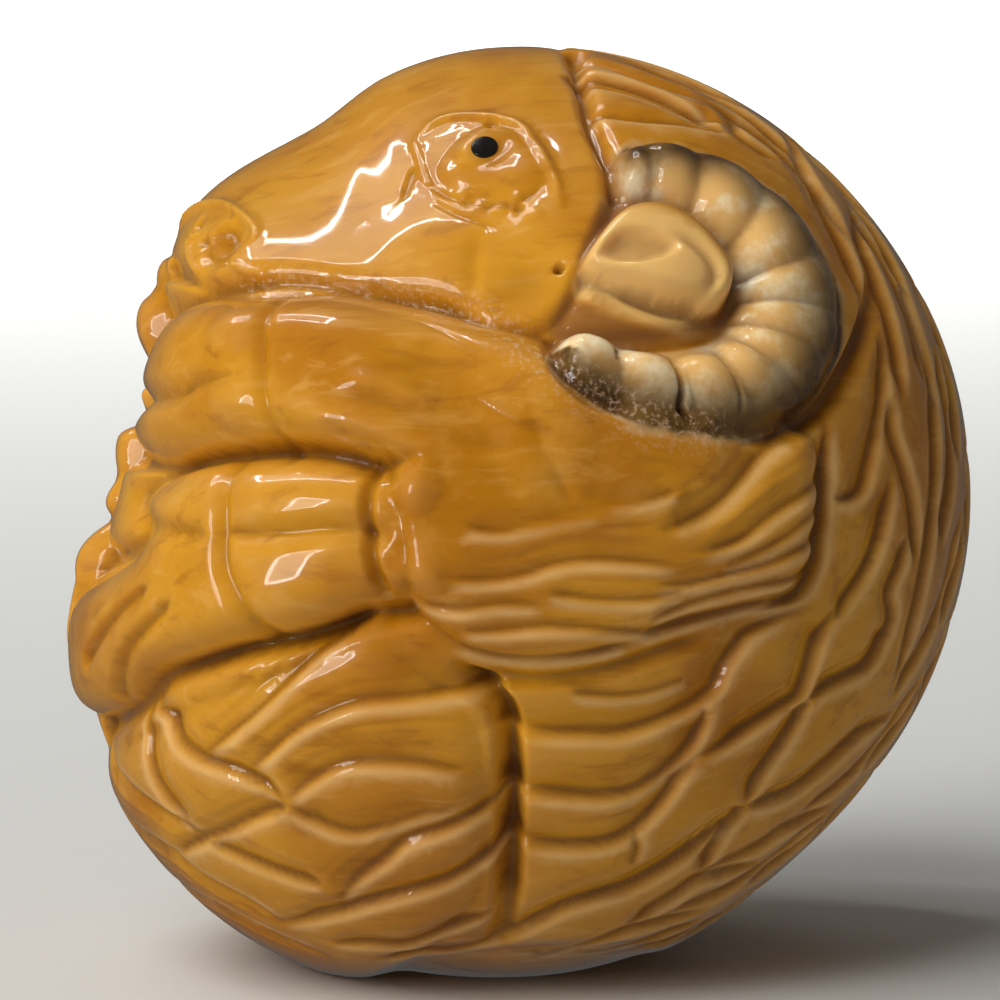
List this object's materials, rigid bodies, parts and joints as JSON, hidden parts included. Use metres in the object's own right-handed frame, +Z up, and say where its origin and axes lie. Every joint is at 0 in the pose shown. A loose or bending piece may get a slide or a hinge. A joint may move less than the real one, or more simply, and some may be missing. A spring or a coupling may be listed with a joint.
{
  "type": "netsuke",
  "caption": "Solid carving of a ram curled into a ball, head resting on folded forelegs, locks of fleece all round, a small resting flat below and a drilled cord passage at the back.",
  "frame": {"origin": "centre of the bounding box on the surface that the netsuke stands on", "axes": "+Z up as it stands; the ram's nose points to -X; its left side, the show side, faces -Y and looks slightly upwards"},
  "size_m": [0.041, 0.0384, 0.0414],
  "materials": {
    "polished_nut": "hand-polished vegetable ivory nut, honey brown and slightly translucent, with grey-brown rind left on the horns and dark dirt in the cuts",
    "black_inlay": "polished black horn or lacquer pegs"
  },
  "bodies": {
    "root": {"ram": "polished_nut", "pupil_left": "black_inlay", "pupil_right": "black_inlay"}
  },
  "joints": []
}
